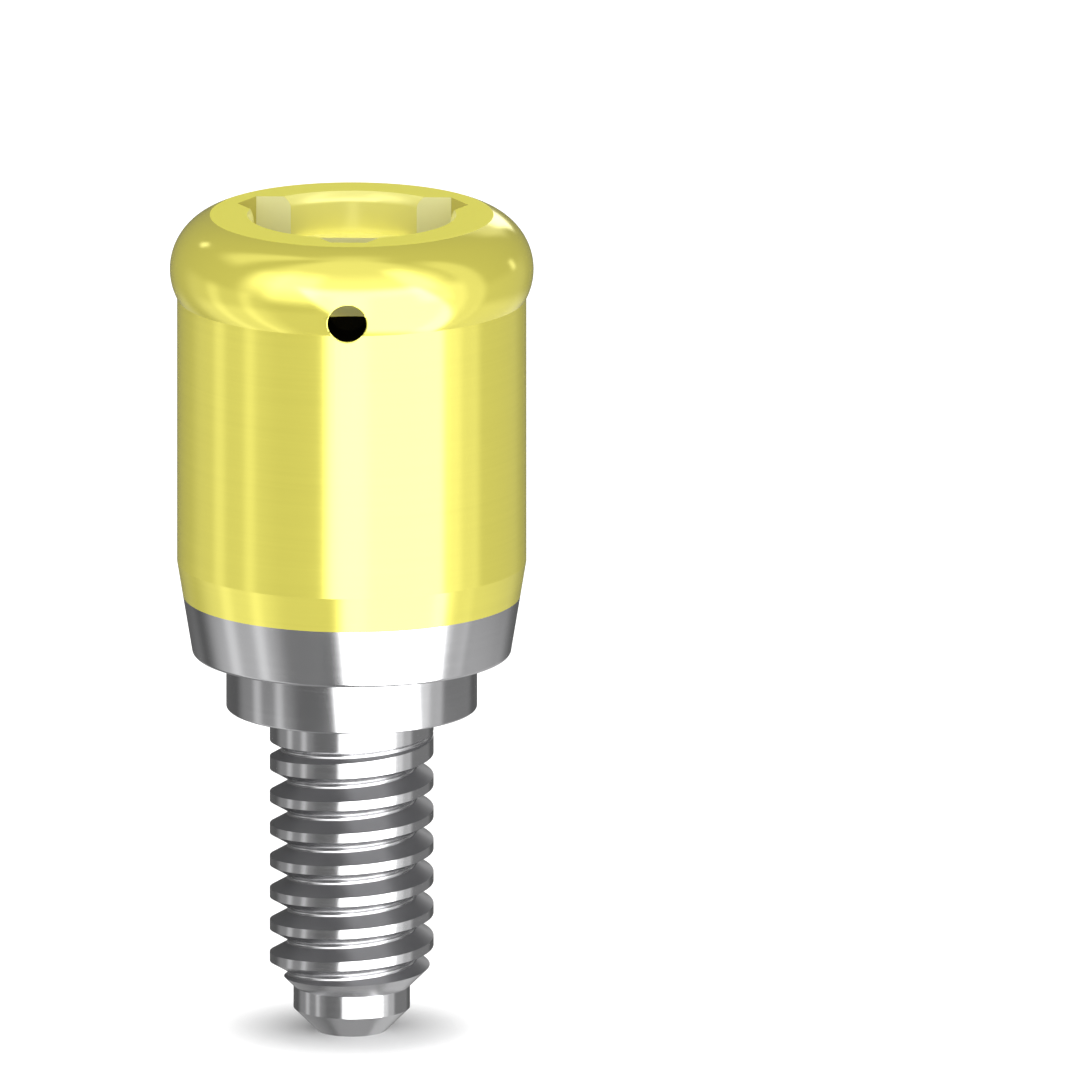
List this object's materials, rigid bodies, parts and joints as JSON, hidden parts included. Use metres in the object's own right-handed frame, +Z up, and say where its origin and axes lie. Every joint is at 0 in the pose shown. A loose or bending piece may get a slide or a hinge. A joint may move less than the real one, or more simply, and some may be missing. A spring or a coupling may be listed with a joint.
{
  "type": "dental abutment",
  "caption": "One-piece threaded dental abutment: bulged retention head with a three-cornered drive socket, tall cuff, seating shoulder and locating boss.",
  "frame": {"origin": "centre of the flat seating shoulder, where the abutment meets the implant", "axes": "+Z up the axis through the head, the threaded shank points down -Z, and the cross hole in the head faces -Y"},
  "size_m": [0.0038, 0.0038, 0.0089],
  "materials": {
    "coated_titanium": "turned titanium alloy; polished yellow nitride coat on head, cuff and upper taper, bare metal on the shoulder, boss and thread"
  },
  "bodies": {
    "root": {"abutment": "coated_titanium"}
  },
  "joints": []
}
